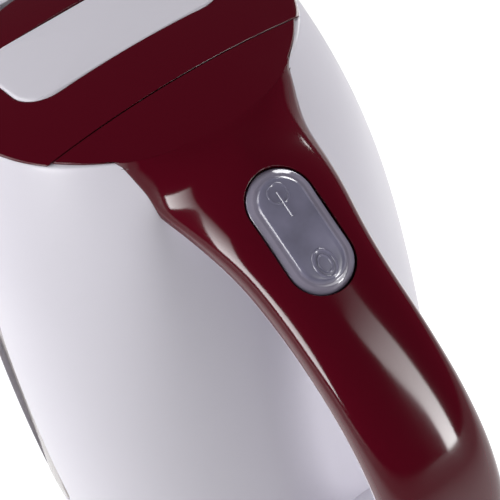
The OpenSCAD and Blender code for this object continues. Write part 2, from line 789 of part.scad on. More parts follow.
module neon_lamp()
  color([0.9, 0.5, 0.3]) at_rocker() translate([-4, 4.5, floor_z + 1.8]) rotate([90, 0, 0])
    cylinder(r = 1.8, h = 9);

// Route of the leads, from the switch down inside the handle to the control unit
lead_r = 1.5;
LEAD = [[83.5, 0, 162.5], [91, 2, 157.5], [98, 4.5, 151.5], [105, 6.5, 145], [110.8, 7, 138],
  [116, 7, 130], [119.6, 7, 121], [122, 7, 111], [123, 7, 100], [122.6, 7, 89], [120, 7, 79],
  [115, 7, 70.5], [108, 6.5, 63], [100, 5.5, 56], [92, 3.5, 49.5], [84, 1.5, 44.5], [76, 0, 41],
  [68, 0, 40], [58, 0, 40], [48, 0, 40], [38, 0, 40], [30, 0, 40]];
lead_sides = 8;
function lead_ring(i) =
  let (d = LEAD[min(i + 1, len(LEAD) - 1)] - LEAD[max(i - 1, 0)], t = d / norm(d),
    side = [0, 1, 0], up = cross(t, side))
  [for (k = [0:lead_sides - 1]) let (a = 360 * k / lead_sides)
    LEAD[i] + lead_r * (cos(a) * side + sin(a) * up)];
module switch_leads() {
  n = lead_sides;
  m = len(LEAD);
  color([0.7, 0.7, 0.72]) polyhedron([for (i = [0:m - 1]) each lead_ring(i)], [
    [for (k = [n - 1:-1:0]) k],
    for (i = [0:m - 2], k = [0:n - 1]) let (a = i * n + k, b = i * n + (k + 1) % n)
      each [[a, b, b + n], [a, b + n, a + n]],
    [for (k = [0:n - 1]) (m - 1) * n + k]]);
}

// ---------- the filter in the spout ----------

filter_x = -58.5;
filter_t = 3;
filter_h = 46;
module filter_blank(shrink, t) {
  intersection() {
    translate([filter_x - t / 2, -40, rim_z - filter_h - 1]) cube([t, 80, filter_h]);
    spout_solid(2.4 + clear + shrink, 1);
  }
}

module filter_frame()
  color(white) difference() {
    filter_blank(0, filter_t);
    intersection() {
      filter_blank(2.4, filter_t + 2);
      translate([-80, -40, rim_z - filter_h + 2.5]) cube([40, 80, filter_h - 7]);
    }
    // groove that holds the mesh
    intersection() {
      filter_blank(1.5, 0.7);
      translate([-80, -40, rim_z - filter_h + 1.5]) cube([40, 80, filter_h - 5]);
    }
  }

mesh_pitch = 4;
module filter_mesh()
  color(steel) intersection() {
    filter_blank(1.6, 4);
    translate([-80, -40, rim_z - filter_h + 1.6]) cube([40, 80, filter_h - 5.2]);
    translate([filter_x, 0, 0]) union() {
      for (y = [-20:mesh_pitch:20]) translate([-0.3, y - 0.3, rim_z - 60]) cube([0.6, 0.6, 60]);
      for (z = [0:mesh_pitch:58]) translate([-0.3, -24, rim_z - z - 0.3]) cube([0.6, 48, 0.6]);
    }
  }

base_shell();
base_plate();
base_connector();
base_contacts();
base_feet();
base_screws();
cord_outlet();
jug_socket();
socket_contacts();
jug_body();
gauge_left();
gauge_right();
heating_plate();
plate_seal();
heat_spreader();
heating_element();
plate_clamp();
clamp_screws();
control_unit();
bottom_cover();
bottom_screws();
handle_liner();
handle_cover();
handle_screws();
hinge_bridge();
bridge_screws();
lid_hinge_pin();
switch_frame();
switch_block();
steam_disc();
neon_lamp();
switch_leads();
rocker_lens();
rocker_carrier();
trip_lever();
lid_cover();
lid_inlay();
lid_liner();
lid_seal();
filter_frame();
filter_mesh();
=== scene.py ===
"""Cordless jug kettle: smooth mouldings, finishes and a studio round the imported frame."""

import math

import bmesh
import bpy
import numpy as np
from bpy.props import FloatProperty, FloatVectorProperty, IntProperty, PointerProperty
from mathutils import Matrix, Vector
from mathutils.bvhtree import BVHTree
from mathutils.interpolate import poly_3d_calc


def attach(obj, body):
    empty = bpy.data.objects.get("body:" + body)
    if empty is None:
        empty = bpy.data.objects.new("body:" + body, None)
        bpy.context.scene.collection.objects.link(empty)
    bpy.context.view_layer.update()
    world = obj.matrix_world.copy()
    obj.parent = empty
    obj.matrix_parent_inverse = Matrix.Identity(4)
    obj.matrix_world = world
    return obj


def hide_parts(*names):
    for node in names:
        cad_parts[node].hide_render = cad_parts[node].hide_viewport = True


bl_info = {
    "name": "Cordless Jug Kettle",
    "version": (1, 0, 0),
    "blender": (4, 5, 0),
    "location": "View3D > Sidebar > Kettle",
    "description": "Builds the kettle's smooth mouldings, finishes and studio",
    "category": "Object",
}

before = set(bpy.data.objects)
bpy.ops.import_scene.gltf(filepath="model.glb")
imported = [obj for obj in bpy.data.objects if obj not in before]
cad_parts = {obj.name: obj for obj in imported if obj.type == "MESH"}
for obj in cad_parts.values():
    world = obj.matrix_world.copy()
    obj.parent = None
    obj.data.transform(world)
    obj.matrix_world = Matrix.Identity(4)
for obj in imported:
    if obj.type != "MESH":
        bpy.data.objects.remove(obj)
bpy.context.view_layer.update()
MM = 0.001


# ---------- sizes and colours ----------


def length(name, description, default):
    """A length that a user may change."""
    return FloatProperty(
        name=name,
        description=description,
        default=default,
        unit="LENGTH",
        subtype="DISTANCE",
        precision=5,
    )


def colour(name, description, default):
    """A colour that a user may change."""
    return FloatVectorProperty(
        name=name, description=description, default=default, size=3, min=0, max=1, subtype="COLOR"
    )


class KettleJugSizes(bpy.types.PropertyGroup):
    """Sizes of the jug's wall, mouth and spout"""

    rim_z: length("Rim height", "Height of the jug's rim above the worktop", 0.205)
    height: length("Jug height", "From the foot to the rim", 0.187)
    foot_gap: length("Foot gap", "Gap between the foot and its seat", 0.0002)
    rim_r: length("Rim radius", "Outer radius at the rim", 0.054)
    belly_r: length("Belly radius", "Outer radius at the widest point", 0.068)
    belly_drop: length("Belly drop", "From the rim down to the widest point", 0.095)
    foot_r: length("Foot radius", "Outer radius at the foot", 0.062)
    wall: length("Wall", "Thickness of the wall", 0.0025)
    lip_depth: length("Lip depth", "Depth of the thicker lip at the mouth", 0.006)
    lip_r: length("Lip radius", "Inner radius of the lip", 0.0512)
    spout_out: length("Spout reach", "How far the spout's tip stands out of the rim", 0.020)
    spout_drop: length("Spout drop", "How far the spout runs down the wall", 0.072)
    tip_r: length("Tip radius", "Radius of the spout's tip", 0.009)
    spout_blend: length("Spout fillet", "Size of the fillet where the spout leaves the wall", 0.004)
    notch_half: length("Notch half width", "Half width of the rear notch that the deck crosses", 0.025)
    notch_depth: length("Notch depth", "Depth of the rear notch", 0.0032)
    gauge_x: length("Gauge position", "Gauge's place along the kettle's length", -0.007)
    gauge_w: length("Gauge width", "Width of the gauge window", 0.014)
    gauge_len: length("Gauge length", "Length of the gauge window", 0.104)
    gauge_top: length("Gauge top", "From the rim down to the gauge's top", 0.044)


class KettleLidSizes(bpy.types.PropertyGroup):
    """Sizes of the domed lid and the seam behind it"""

    dome_rise: length("Dome rise", "Height of the dome's centre above the rim", 0.0054)
    dome_r: length("Dome radius", "Radius of the dome's sphere", 0.307)
    seam_x: length("Seam", "Place of the straight seam behind the lid", 0.030)
    gap: length("Seam gap", "Width of the gap at the seam", 0.00035)
    pin_back: length("Pin back", "Hinge pin's distance behind the seam", 0.006)
    pin_drop: length("Pin drop", "Hinge pin's depth below the rim", 0.003)
    cover_t: length("Cover thickness", "Thickness of the lid's cover", 0.0022)
    inlay_x: length("Inlay position", "Inlay's centre along the kettle's length", -0.0115)
    inlay_len: length("Inlay length", "Inlay's size across the lid", 0.073)
    inlay_w: length("Inlay width", "Inlay's size along the lid", 0.0365)
    inlay_r: length("Inlay corner", "Radius of the inlay's corners", 0.011)
    inlay_up: length("Inlay rise", "How far the inlay stands out of the dome", 0.0007)
    inlay_sink: length("Inlay sink", "Depth of the inlay's pocket", 0.001)


class KettleHandleSizes(bpy.types.PropertyGroup):
    """Sizes of the handle's cover, liner and rocker"""

    shell: length("Cover thickness", "Thickness of the handle's cover", 0.0024)
    liner_depth: length("Liner depth", "How far the liner stands in from the cover's edge", 0.010)
    liner_step: length("Liner step", "How far the liner stands back from the cover's side", 0.0007)
    rocker_x: length("Rocker position", "Rocker's centre along the kettle's length", 0.0865)
    rocker_drop: length("Rocker drop", "Rocker's centre below the rim", 0.0215)
    rocker_tilt: FloatProperty(
        name="Rocker slope",
        description="Slope of the rocker's face",
        default=math.radians(43),
        subtype="ANGLE",
    )
    rocker_len: length("Rocker length", "Length of the rocker's lens", 0.0398)
    rocker_w: length("Rocker width", "Width of the rocker's lens", 0.0206)
    rocker_gap: length("Rocker gap", "Gap round the rocker's lens", 0.00045)
    across: IntProperty(name="Steps across", description="Faces across the handle", default=64, min=16)
    along: IntProperty(name="Steps along", description="Faces between two stations", default=5, min=1)


class KettleBaseSizes(bpy.types.PropertyGroup):
    """Sizes of the power base"""

    radius: length("Base radius", "Outer radius of the power base", 0.0715)
    seat_z: length("Seat height", "Height of the jug's seat", 0.018)
    wall: length("Base wall", "Thickness of the base's wall", 0.0025)
    connector_r: length("Connector radius", "Radius of the round connector", 0.0125)


class KettleColours(bpy.types.PropertyGroup):
    """Colours of the kettle's finishes"""

    burgundy: colour("Burgundy", "Gloss shell of the lid and handle", (0.088, 0.0004, 0.0078))
    white: colour("White", "Satin shell of the jug and base", (0.74, 0.715, 0.79))
    lens: colour("Lens", "Smoky lens of the rocker", (0.215, 0.205, 0.29))
    # Colour of the painted sheen on the lens's bevel: a pale band that stands in for its highlight
    lens_sheen: colour("Lens rim", "Thin rim of the rocker's lens", (0.33, 0.29, 0.35))
    gauge: colour("Gauge", "Smoky window of the water gauge", (0.235, 0.20, 0.20))
    black: colour("Black", "Heat-proof inner mouldings", (0.012, 0.012, 0.013))
    backdrop: colour("Backdrop", "Floor and backdrop", (0.42, 0.42, 0.42))


# Stations down the handle in millimetres:
# crown x and drop, edge x and drop, half width, squareness
STATIONS = np.array([
    (58.5, 0.8, 44.7, 1.5, 30, 1.5),
    (62, 2.2, 47.8, 8.5, 28.6, 1.45),
    (67.5, 5.2, 51.2, 17.4, 26.7, 1.6),
    (74, 10, 60.5, 21.2, 24.6, 1.9),
    (81.5, 16.8, 72.7, 26.3, 22.4, 2.3),
    (89.5, 24.3, 81.5, 32.8, 20.4, 2.5),
    (97.2, 31.6, 89.4, 39.9, 19.3, 2.6),
    (105.3, 39, 97.5, 46.9, 18.8, 2.6),
    (113.4, 46.8, 105.3, 54.2, 18.7, 2.6),
    (121, 55.5, 112, 61.8, 18.7, 2.6),
    (127.6, 64.8, 117.8, 69.8, 18.8, 2.6),
    (132.8, 74.6, 122.2, 78.5, 18.9, 2.6),
    (136.6, 85.2, 125.4, 87.6, 19, 2.6),
    (138.45, 97, 127.2, 97.8, 19, 2.6),
    (138.55, 110, 127.4, 109, 19, 2.6),
    (136.6, 123.8, 125.6, 120.5, 19, 2.6),
    (131.4, 137, 121.4, 130.8, 19, 2.6),
    (123, 148.6, 115, 140.2, 19.1, 2.6),
    (111.4, 157.8, 105.6, 147.8, 19.4, 2.6),
    (97, 164.2, 93.2, 153.5, 19.9, 2.6),
    (81, 168.2, 78.8, 157.2, 20.6, 2.6),
    (62, 170, 60.7, 159.1, 21.5, 2.6),
]) * (MM, MM, MM, MM, MM, 1)
FIRST_LINER_STATION = 2
# Squareness of the liner's outer and inner sections
LINER_SQUARENESS = (2.8, 2.6)

# Roots of the spout at the rim: place along the kettle, half spread and radius
SPOUT_ROOT = (-0.044, 0.031, 0.0035)
# Radius of the spout's lowest point, and how far that point lies inside the wall
SPOUT_LOW_R = 0.0075
SPOUT_LOW_IN = 0.008
# Depth below the rim at which the spout has its full reach
SPOUT_FULL = 0.003
# How fast the spout's reach falls beside it, for each radian
SPOUT_FALL = 0.2

# Where the rear notch of the rim starts and ends along the kettle
NOTCH_X = (0.038, 0.068)
# Ledge inside the jug that carries the heating plate: height, thickness and radius
LEDGE_Z = 0.050
LEDGE_T = 0.003
LEDGE_R = 0.0525
# Half width of the blocks that cut the lid and the deck
CUT_HALF = 0.06

# Profile over the rocker's lens: inset from its edge and height over its seat, in millimetres
LENS_PROFILE = [
    (0, -2.6), (0, -1.75), (0.08, -1.5), (0.3, -1.25), (0.55, -1.1), (1.7, -0.3), (1.9, -0.2),
    (2.1, -0.17), (2.5, -0.16), (2.75, -0.14), (2.87, -0.07), (3.3, 0.42), (3.45, 0.55),
    (3.7, 0.64), (4.2, 0.69), (5.0, 0.7), (7.5, 0.7), (9.0, 0.7), (10.2, 0.7),
]
LENS_FACE = 0.7 * MM
# Rings on the lens: place along it, half size along and across, bead width and height
LENS_RINGS = [
    (0.0115, 0.0042, 0.0031, 0.0010, 0.0005),
    (0.0115, 0.0027, 0.0018, 0.0007, 0.0004),
    (-0.0122, 0.0030, 0.0030, 0.0007, 0.00028),
]
# The bar on the lens: where it starts, its length, bead width and height
LENS_BAR = (-0.0128, 0.0082, 0.0009, 0.0006)
# Lens heights between which the painted sheen, a pale band on the lens's bevel, fades in and out, where
# it peaks, and its strength
LENS_SHEEN_Z = (-1.5 * MM, -0.3 * MM)
LENS_SHEEN_PEAK = 0.75
LENS_SHEEN_SHARE = 0.8

# Radius and height of the cord outlet's seat in the power base
OUTLET_R = 0.0047
OUTLET_Z = 0.0106

# Lamps: bearing and height in degrees, distance, width, height, radiance at the bottom and at the top
LAMPS = {
    "left_strip": (-88, 20, 1.3, 0.50, 0.90, 13.5, 0.8),
    "right_strip": (26.5, 20, 1.05, 0.20, 1.1, 18, 0.3),
    "rear_right_box": (121, 25, 1.3, 0.42, 1.0, 7.5, 7.5),
    "rear_left_box": (-134, 30, 1.3, 0.9, 1.0, 3.3, 3.3),
}
LAMP_AIM = (0.08, 0, 0.16)
AIR_STRENGTH = 0.05
# Painted pool of light on the floor round the kettle: its strength, and the distances between which it
# fades
PAINTED_POOL_SHARE = 0.88
PAINTED_POOL_REACH = (0.27, 0.45)
FLOOR_HALF = 3.0

CAMERA_LENS = 178.55
CAMERA_SPOT = (0.5771, -0.2310, 0.6187)
# The camera's right, up and back
CAMERA_AXES = ((0.5491, 0.805, -0.2249), (-0.435, 0.505, 0.7455), (0.7137, -0.3115, 0.6274))


# ---------- mesh helpers ----------


def new_piece(name, points, faces, crease=35):
    """Makes a smooth-shaded mesh object with outward faces, sharp at edges over the crease angle."""
    mesh = bpy.data.meshes.new(name)
    mesh.from_pydata([tuple(p) for p in points], [], faces)
    bm = bmesh.new()
    bm.from_mesh(mesh)
    bmesh.ops.remove_doubles(bm, verts=bm.verts, dist=1e-7)
    bmesh.ops.dissolve_degenerate(bm, edges=bm.edges, dist=1e-8)
    bmesh.ops.recalc_face_normals(bm, faces=bm.faces)
    bm.to_mesh(mesh)
    bm.free()
    mesh.shade_smooth()
    mesh.set_sharp_from_angle(angle=math.radians(crease))
    piece = bpy.data.objects.new(name, mesh)
    bpy.context.scene.collection.objects.link(piece)
    return piece


def circle(steps):
    """Even angles round a full turn."""
    return [2 * math.pi * k / steps for k in range(steps)]


def skin(rings, closed=True, looped=False, caps="none"):
    """Faces over equal rings. closed joins each ring's ends, looped joins the last ring to the first."""
    n = len(rings[0])
    m = len(rings)
    points = np.concatenate([np.asarray(r, float) for r in rings])
    faces = []
    for i in range(m if looped else m - 1):
        a, b = i * n, (i + 1) % m * n
        for j in range(n if closed else n - 1):
            k = (j + 1) % n
            faces.append((a + j, a + k, b + k, b + j))
    if caps == "fan":
        faces += [tuple(range(n)), tuple(range((m - 1) * n, m * n))]
    if caps == "strip":
        for base in (0, (m - 1) * n):
            for j in range(n // 2 - 1):
                faces.append((base + j, base + j + 1, base + n - 2 - j, base + n - 1 - j))
    return points, faces


def turned(profile, steps=192, angle=0.0):
    """Rings of a closed profile of (radius, height) points turned about the kettle's axis."""
    rings = []
    for start in circle(steps):
        a = start + angle
        rings.append([(r * math.cos(a), r * math.sin(a), z) for r, z in profile])
    return skin(rings, looped=True)


def rounded(profile, radius, steps=4):
    """A closed profile with each corner rounded, by less where its sides are short."""
    pts = [Vector(p) for p in profile]
    out = []
    for i, p in enumerate(pts):
        back, on = pts[i - 1] - p, pts[(i + 1) % len(pts)] - p
        cut = min(radius, back.length * 0.45, on.length * 0.45)
        a, b = p + back.normalized() * cut, p + on.normalized() * cut
        for k in range(steps + 1):
            t = k / steps
            out.append(tuple(a * (1 - t) ** 2 + p * 2 * t * (1 - t) + b * t * t))
    return out


class Shading:
    """Remembers a mesh's smooth normals, so that they can be given back after it is cut."""

    def __init__(self, piece, flip=False):
        mesh = piece.data
        mesh.calc_loop_triangles()
        self.points = [piece.matrix_world @ v.co for v in mesh.vertices]
        self.sign = -1 if flip else 1
        self.corners = [Vector(n.vector) * self.sign for n in mesh.corner_normals]
        self.tris = [(tuple(t.vertices), tuple(t.loops)) for t in mesh.loop_triangles]
        self.tree = BVHTree.FromPolygons(self.points, [t[0] for t in self.tris], all_triangles=True)

    def near(self, point, normal):
        """Distance to this surface at a point, if it faces the same way there."""
        hit, n, index, distance = self.tree.find_nearest(point)
        if hit is None or n.dot(normal) * self.sign < 0.8:
            return 1.0
        return distance

    def normal(self, point):
        """The smooth normal at a point of this surface."""
        hit, n, index, distance = self.tree.find_nearest(point)
        verts, loops = self.tris[index]
        weights = poly_3d_calc([self.points[v] for v in verts], hit)
        total = Vector((0, 0, 0))
        for w, loop in zip(weights, loops):
            total += self.corners[loop] * w
        return total.normalized()


def carve(piece, *cutters):
    """Cuts the cutters out of a piece. Every surface that is left keeps its own smooth shading."""
    sources = [Shading(piece)] + [Shading(c, flip=True) for c in cutters]
    for cutter in cutters:
        cut = piece.modifiers.new("cut", "BOOLEAN")
        cut.operation = "DIFFERENCE"
        cut.solver = "MANIFOLD"
        cut.object = cutter
    depsgraph = bpy.context.evaluated_depsgraph_get()
    mesh = bpy.data.meshes.new_from_object(piece.evaluated_get(depsgraph))
    piece.modifiers.clear()
    piece.data = mesh
    for cutter in cutters:
        bpy.data.objects.remove(cutter, do_unlink=True)
    if not mesh.polygons:
        raise RuntimeError(f"cutting {piece.name} left nothing")
    normals = [Vector((0, 0, 0))] * len(mesh.loops)
    points = [v.co.copy() for v in mesh.vertices]
    for poly in mesh.polygons:
        centre, facing = poly.center, poly.normal
        best = min(sources, key=lambda s: s.near(centre, facing))
        on_it = best.near(centre, facing) < 2e-4
        for loop in poly.loop_indices:
            if on_it:
                spot = points[mesh.loops[loop].vertex_index].lerp(centre, 0.02)
                normals[loop] = best.normal(spot)
            else:
                normals[loop] = facing
    mesh.shade_smooth()
    mesh.normals_split_custom_set(normals)
    return piece


def settle(piece, body, slot, material, *nodes):
    """Gives a finished piece its body, its finish and the frame nodes that it stands for."""
    piece.data.materials.clear()
    piece.data.materials.append(material)
    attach(piece, body)
    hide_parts(*nodes)


# ---------- the kettle's own curves ----------


def jug_radius(jug, drop):
    """Outer radius of the jug's wall at a depth below the rim."""
    drop = np.asarray(drop, float)
    above = np.clip(1 - drop / jug.belly_drop, 0, 1)
    below = np.clip((drop - jug.belly_drop) / (jug.height - jug.belly_drop), 0, 1)
    upper = jug.belly_r - (jug.belly_r - jug.rim_r) * above**2.3
    return upper - (jug.belly_r - jug.foot_r) * below**2


def dome_up(lid, r):
    """Height of the dome above the rim at a distance from the axis."""
    return lid.dome_rise - lid.dome_r + np.sqrt(lid.dome_r**2 - np.asarray(r, float) ** 2)


def soft_max(a, b, blend):
    """The larger of two radii, with a fillet where they cross."""
    h = np.clip(0.5 + 0.5 * (a - b) / blend, 0, 1)
    return b + (a - b) * h + blend * h * (1 - h)


def spout_radius(jug, angles, drop):
    """How far the spout reaches from the axis in each direction, at one depth below the rim."""
    under = max(0.0, drop - jug.spout_drop)
    if under > SPOUT_LOW_R:
        return np.zeros_like(angles)
    low_x = SPOUT_LOW_IN - float(jug_radius(jug, jug.spout_drop))
    low_r = math.sqrt(SPOUT_LOW_R**2 - under**2)
    share = np.clip((jug.spout_drop - drop) / (jug.spout_drop - SPOUT_FULL), 0, 1)
    root_x, root_y, root_r = SPOUT_ROOT
    tip_x = jug.tip_r - jug.rim_r - jug.spout_out
    corners = ((tip_x, 0.0, jug.tip_r), (root_x, root_y, root_r), (root_x, -root_y, root_r))
    discs = [
        ((1 - share) * low_x + share * x, share * y, (1 - share) * low_r + share * r)
        for x, y, r in corners
    ]
    turn = np.radians(np.arange(0, 360, 1.0))
    reach = np.array([x * np.cos(turn) + y * np.sin(turn) + r for x, y, r in discs])
    best = reach.argmax(0)
    cx, cy, cr = (np.array([d[i] for d in discs])[best] for i in range(3))
    px, py = cx + cr * np.cos(turn), cy + cr * np.sin(turn)
    outward = px * np.cos(turn) + py * np.sin(turn) > 0
    around = np.arctan2(-py, -px)[outward]
    far = np.hypot(px, py)[outward]
    order = np.argsort(around)
    around, far = around[order], far[order]
    here = (angles % (2 * math.pi)) - math.pi
    out = np.interp(here, around, far)
    beyond = np.maximum(0, np.maximum(around[0] - here, here - around[-1]))
    return out - beyond * SPOUT_FALL


def smoothed(rows, per_span):
    """A smooth curve through rows of numbers, with even steps between them."""
    ends = np.vstack([2 * rows[0] - rows[1], rows, 2 * rows[-1] - rows[-2]])
    pull = rows - (ends[:-2] - 2 * rows + ends[2:]) / 6
    ctrl = np.vstack([2 * pull[0] - pull[1], pull, 2 * pull[-1] - pull[-2]])
    out = []
    for i in range(len(rows) - 1):
        a, b, c, d = ctrl[i : i + 4]
        for k in range(per_span):
            t = k / per_span
            early = a * (1 - t) ** 3 + b * (3 * t**3 - 6 * t**2 + 4)
            late = c * (-3 * t**3 + 3 * t**2 + 3 * t + 1) + d * t**3
            out.append((early + late) / 6)
    out.append(rows[-1])
    return np.array(out)


def shares(across, squareness):
    """Shares of the half width and of the depth over one section of the handle."""
    a = math.pi * np.arange(across + 1) / across
    side = np.sign(np.cos(a)) * np.abs(np.cos(a)) ** (2 / squareness)
    return side, np.clip(np.sin(a), 0, 1) ** (2 / squareness)


def section(foot, top, half, squareness, across, rim_z):
    """One section of the handle, from its edge line to its top line."""
    side, up = shares(across, squareness)
    line = np.asarray(foot)[None, :] + (np.asarray(top) - np.asarray(foot))[None, :] * up[:, None]
    return np.column_stack([line[:, 0], half * side, rim_z + line[:, 1]])


def jug_block(jug, name, up=0.0, steps=288):
    """The jug's outside as one full solid."""
    drops = np.linspace(0, jug.height - jug.foot_gap, 90)
    profile = [(0.0, jug.rim_z - drops[-1])]
    profile += [(float(jug_radius(jug, d)), jug.rim_z - d) for d in drops[::-1]]
    profile += [(jug.rim_r, jug.rim_z + up), (0.0, jug.rim_z + up)]
    return new_piece(name, *turned(profile, steps, math.pi / steps))


def seam_barrel(jug, lid, name, grow):
    """The barrel round the hinge pin whose surface meets the dome along the seam."""
    pin = Vector((lid.seam_x + lid.pin_back, 0, jug.rim_z - lid.pin_drop))
    ys = np.linspace(-0.05, 0.05, 41)
    rise = dome_up(lid, np.hypot(lid.seam_x, ys)) + lid.pin_drop
    radii = np.sqrt(lid.pin_back**2 + rise**2) + grow
    rings = []
    for r, y in zip(radii, ys):
        rings.append([(pin.x + r * math.cos(a), y, pin.z + r * math.sin(a)) for a in circle(128)])
    return new_piece(name, *skin(rings, caps="fan"))


def block(name, low, high):
    """A plain block, used to cut other pieces."""
    x, y, z = zip(low, high)
    ring = [(x[0], y[0]), (x[1], y[0]), (x[1], y[1]), (x[0], y[1])]
    return new_piece(name, *skin([[(a, b, h) for a, b in ring] for h in z], caps="fan"))


def notch_block(jug, name):
    """The rear notch of the rim, which the deck crosses."""
    low = (NOTCH_X[0], -jug.notch_half, jug.rim_z - jug.notch_depth)
    return block(name, low, (NOTCH_X[1], jug.notch_half, jug.rim_z + 0.01))


def rounded_outline(width, depth, radius, inset=0.0, corner=12):
    """Outline of a rectangle with round corners, drawn in by an inset."""
    w, d, r = width / 2 - inset, depth / 2 - inset, max(radius - inset, 1e-5)
    out = []
    for q, (sx, sy) in enumerate([(1, 1), (-1, 1), (-1, -1), (1, -1)]):
        for k in range(corner + 1):
            a = math.pi / 2 * (q + k / corner)
            out.append((sx * (w - r) + r * math.cos(a), sy * (d - r) + r * math.sin(a)))
    return out


# ---------- finishes ----------


def finish(
    name,
    base,
    rough,
    metal=0.0,
    coat=0.0,
    grain=0.0,
    grain_scale=900.0,
    wear=0.05,
    vary=0.04,
    edge=0.0003,
    cloud=14.0,
    rim=None,
):
    """A procedural finish: slight colour drift, patchy gloss, fine surface grain and softened edges."""
    material = bpy.data.materials.new(name)
    material.use_nodes = True
    material.diffuse_color = (*base, 1)
    nodes, links = material.node_tree.nodes, material.node_tree.links
    shader = nodes["Principled BSDF"]
    shader.inputs["Metallic"].default_value = metal
    shader.inputs["Coat Weight"].default_value = coat
    shader.inputs["Coat Roughness"].default_value = 0.06
    place = nodes.new("ShaderNodeTexCoord")
    drift = nodes.new("ShaderNodeTexNoise")
    drift.inputs["Scale"].default_value = cloud
    drift.inputs["Detail"].default_value = 3
    links.new(place.outputs["Object"], drift.inputs["Vector"])
    tint = nodes.new("ShaderNodeMix")
    tint.data_type = "RGBA"
    tint.inputs["A"].default_value = (*[c * (1 - vary) for c in base], 1)
    tint.inputs["B"].default_value = (*[min(1, c * (1 + vary)) for c in base], 1)
    links.new(drift.outputs["Fac"], tint.inputs["Factor"])
    colour_out = tint.outputs["Result"]
    # Painted sheen: a paler colour mixed in by the rim attribute
    if rim:
        share = nodes.new("ShaderNodeAttribute")
        share.attribute_name = "rim"
        blend = nodes.new("ShaderNodeMix")
        blend.data_type = "RGBA"
        blend.inputs["B"].default_value = (*rim, 1)
        links.new(share.outputs["Fac"], blend.inputs["Factor"])
        links.new(colour_out, blend.inputs["A"])
        colour_out = blend.outputs["Result"]
    links.new(colour_out, shader.inputs["Base Color"])
    patches = nodes.new("ShaderNodeTexNoise")
    patches.inputs["Scale"].default_value = 90
    patches.inputs["Detail"].default_value = 5
    links.new(place.outputs["Object"], patches.inputs["Vector"])
    gloss = nodes.new("ShaderNodeMapRange")
    gloss.inputs["From Min"].default_value = 0.3
    gloss.inputs["From Max"].default_value = 0.7
    gloss.inputs["To Min"].default_value = max(0, rough - wear / 2)
    gloss.inputs["To Max"].default_value = rough + wear / 2
    links.new(patches.outputs["Fac"], gloss.inputs["Value"])
    links.new(gloss.outputs["Result"], shader.inputs["Roughness"])
    soften = nodes.new("ShaderNodeBevel")
    soften.samples = 4
    soften.inputs["Radius"].default_value = edge
    relief = nodes.new("ShaderNodeTexNoise")
    relief.inputs["Scale"].default_value = grain_scale
    relief.inputs["Detail"].default_value = 2
    links.new(place.outputs["Object"], relief.inputs["Vector"])
    bump = nodes.new("ShaderNodeBump")
    bump.inputs["Strength"].default_value = grain
    bump.inputs["Distance"].default_value = 0.0002
    links.new(relief.outputs["Fac"], bump.inputs["Height"])
    links.new(soften.outputs["Normal"], bump.inputs["Normal"])
    links.new(bump.outputs["Normal"], shader.inputs["Normal"])
    return material


def finishes():
    """All of the kettle's finishes by name, made once."""
    made = bpy.data.materials
    if "burgundy gloss shell" in made:
        return made
    c = bpy.context.scene.kettle_colours
    finish("burgundy gloss shell", c.burgundy, 0.1, grain=0.012, grain_scale=260, wear=0.03, edge=0.0004)
    finish("white satin shell", c.white, 0.33, grain=0.03, grain_scale=500, vary=0.015, edge=0.0005)
    finish("white inner moulding", [v * 0.97 for v in c.white], 0.5, grain=0.1)
    finish(
        "smoky switch lens",
        c.lens,
        0.1,
        coat=1.0,
        grain=0.01,
        grain_scale=700,
        vary=0.4,
        edge=0.0002,
        cloud=110,
        rim=c.lens_sheen,
    )
    finish("smoky gauge window", c.gauge, 0.22, coat=0.3, grain=0.02, grain_scale=700, edge=0.0002)
    finish("black heat-proof moulding", c.black, 0.5, grain=0.15, grain_scale=1400, wear=0.1)
    finish("brushed steel", (0.56, 0.56, 0.57), 0.3, metal=1, grain=0.08, grain_scale=1200, wear=0.12)
    finish("bare aluminium", (0.62, 0.62, 0.63), 0.42, metal=1, grain=0.12, wear=0.12)
    finish("contact brass", (0.60, 0.38, 0.13), 0.32, metal=1, grain=0.05, wear=0.1)
    finish("black rubber", (0.018, 0.018, 0.018), 0.72, grain=0.25, grain_scale=1600, wear=0.1)
    finish("clear silicone", (0.60, 0.60, 0.61), 0.45, grain=0.06, grain_scale=700, wear=0.1)
    finish("neon bulb", (0.75, 0.35, 0.18), 0.12, coat=0.5, wear=0.04)
    return made


NODE_FINISH = {
    "white satin shell": "filter_frame",
    "white inner moulding": "base_plate plate_clamp bottom_cover hinge_bridge lid_liner trip_lever",
    "black heat-proof moulding": "base_connector jug_socket control_unit switch_frame rocker_carrier "
    "switch_block",
    "contact brass": "base_contacts socket_contacts steam_disc",
    "black rubber": "base_feet cord_outlet switch_leads",
    "clear silicone": "plate_seal lid_seal",
    "brushed steel": "base_screws clamp_screws bottom_screws handle_screws bridge_screws lid_hinge_pin "
    "heating_plate filter_mesh",
    "bare aluminium": "heat_spreader heating_element",
    "neon bulb": "neon_lamp",
}


# ---------- operators ----------


